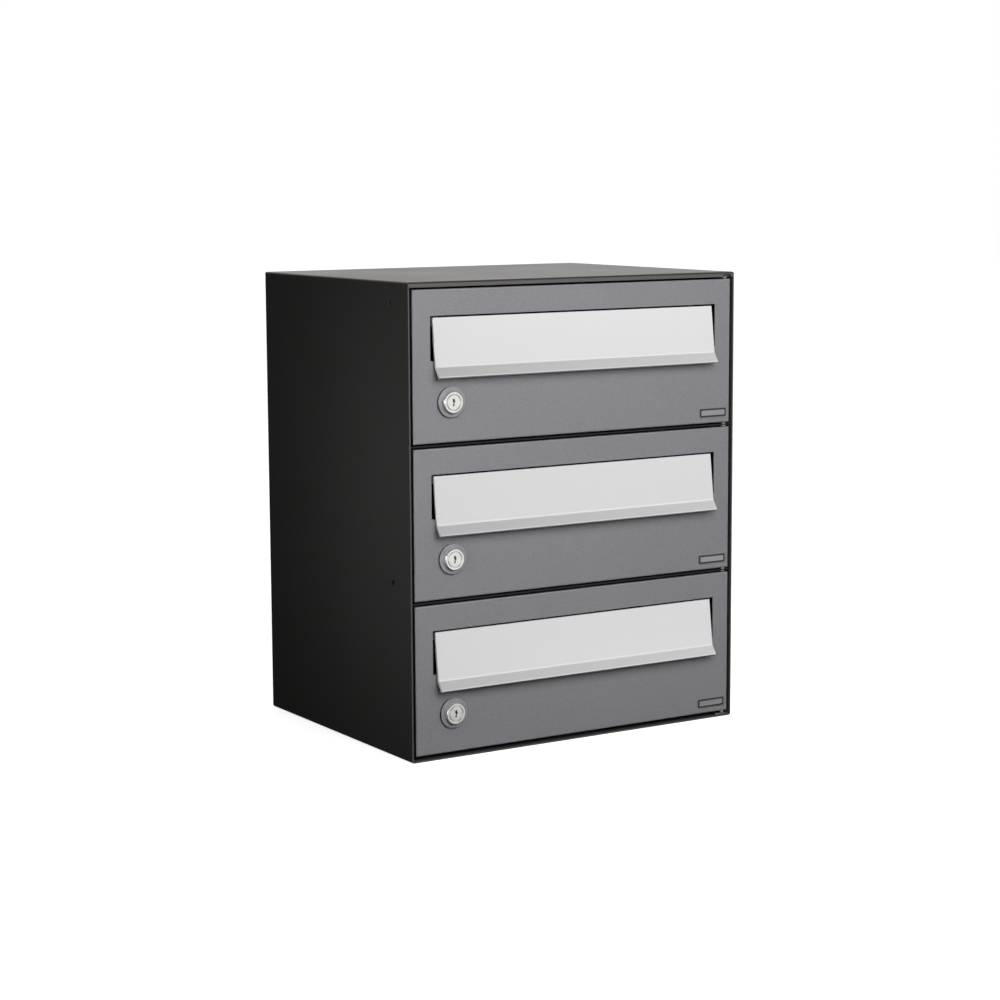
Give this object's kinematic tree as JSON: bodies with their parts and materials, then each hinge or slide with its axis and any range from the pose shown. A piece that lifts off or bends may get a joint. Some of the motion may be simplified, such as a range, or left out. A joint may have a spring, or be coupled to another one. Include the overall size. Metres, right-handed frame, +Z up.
{
  "type": "cluster mailbox unit",
  "caption": "Stacked letter compartments in one sheet-steel casing, each with a right-hinged door, a lift-up aluminium slot flap and a quarter-turn cam lock.",
  "frame": {"origin": "centre of the casing's flat underside, midway between its front and back edges", "axes": "+Z up, the doors face -Y, +Y towards the wall behind, +X to the right seen from the front"},
  "size_m": [0.37, 0.2982, 0.446],
  "materials": {
    "casing_paint": "fine-textured matt powder coat",
    "door_paint": "fine-textured satin powder coat",
    "flap_aluminium": "satin anodised, fine grain along its length",
    "rosette_grey": "satin",
    "lock_nickel": "satin nickel",
    "plug_nickel": "turned satin nickel",
    "pin_steel": "turned bright zinc",
    "zinc_steel": "zinc plated",
    "buffer_rubber": "matt",
    "plate_black": "satin"
  },
  "bodies": {
    "cabinet": {"casing": "casing_paint", "back_panel": "casing_paint", "upper_shelf": "casing_paint", "lower_shelf": "casing_paint", "top_hinge_plate": "zinc_steel", "bottom_hinge_plate": "zinc_steel", "hinge_pins": "pin_steel", "top_strike": "zinc_steel", "middle_strike": "zinc_steel", "bottom_strike": "zinc_steel"},
    "bottom_door": {"bottom_door_panel": "door_paint", "bottom_flap_lugs": "door_paint", "bottom_flap_pins": "zinc_steel", "bottom_flap_buffers": "buffer_rubber", "bottom_plate": "plate_black", "bottom_lock_rosette": "rosette_grey", "bottom_lock_barrel": "lock_nickel", "bottom_lock_nut": "zinc_steel"},
    "bottom_flap": {"bottom_flap": "flap_aluminium"},
    "bottom_lock": {"bottom_lock_plug": "plug_nickel", "bottom_lock_cam": "zinc_steel", "bottom_cam_screw": "zinc_steel"},
    "middle_door": {"middle_door_panel": "door_paint", "middle_flap_lugs": "door_paint", "middle_flap_pins": "zinc_steel", "middle_flap_buffers": "buffer_rubber", "middle_plate": "plate_black", "middle_lock_rosette": "rosette_grey", "middle_lock_barrel": "lock_nickel", "middle_lock_nut": "zinc_steel"},
    "middle_flap": {"middle_flap": "flap_aluminium"},
    "middle_lock": {"middle_lock_plug": "plug_nickel", "middle_lock_cam": "zinc_steel", "middle_cam_screw": "zinc_steel"},
    "top_door": {"top_door_panel": "door_paint", "top_flap_lugs": "door_paint", "top_flap_pins": "zinc_steel", "top_flap_buffers": "buffer_rubber", "top_plate": "plate_black", "top_lock_rosette": "rosette_grey", "top_lock_barrel": "lock_nickel", "top_lock_nut": "zinc_steel"},
    "top_flap": {"top_flap": "flap_aluminium"},
    "top_lock": {"top_lock_plug": "plug_nickel", "top_lock_cam": "zinc_steel", "top_cam_screw": "zinc_steel"}
  },
  "joints": [
    {"name": "bottom_door_hinge", "type": "hinge", "parent": "cabinet", "child": "bottom_door", "pos_m": [0.1767, -0.139, 0.07625], "axis": [0, 0, 1], "range_deg": [0, 95]},
    {"name": "bottom_flap_hinge", "type": "hinge", "parent": "bottom_door", "child": "bottom_flap", "pos_m": [0, -0.13776, 0.11707], "axis": [-1, 0, 0], "range_deg": [0, 80]},
    {"name": "bottom_lock_turn", "type": "hinge", "parent": "bottom_door", "child": "bottom_lock", "pos_m": [-0.1408, -0.144, 0.043], "axis": [0, 1, 0], "range_deg": [0, 90]},
    {"name": "middle_door_hinge", "type": "hinge", "parent": "cabinet", "child": "middle_door", "pos_m": [0.1767, -0.139, 0.22225], "axis": [0, 0, 1], "range_deg": [0, 95]},
    {"name": "middle_flap_hinge", "type": "hinge", "parent": "middle_door", "child": "middle_flap", "pos_m": [0, -0.13776, 0.26306], "axis": [-1, 0, 0], "range_deg": [0, 80]},
    {"name": "middle_lock_turn", "type": "hinge", "parent": "middle_door", "child": "middle_lock", "pos_m": [-0.1408, -0.144, 0.189], "axis": [0, 1, 0], "range_deg": [0, 90]},
    {"name": "top_door_hinge", "type": "hinge", "parent": "cabinet", "child": "top_door", "pos_m": [0.1767, -0.139, 0.36825], "axis": [0, 0, 1], "range_deg": [0, 95]},
    {"name": "top_flap_hinge", "type": "hinge", "parent": "top_door", "child": "top_flap", "pos_m": [0, -0.13776, 0.40907], "axis": [-1, 0, 0], "range_deg": [0, 80]},
    {"name": "top_lock_turn", "type": "hinge", "parent": "top_door", "child": "top_lock", "pos_m": [-0.1408, -0.144, 0.335], "axis": [0, 1, 0], "range_deg": [0, 90]}
  ]
}
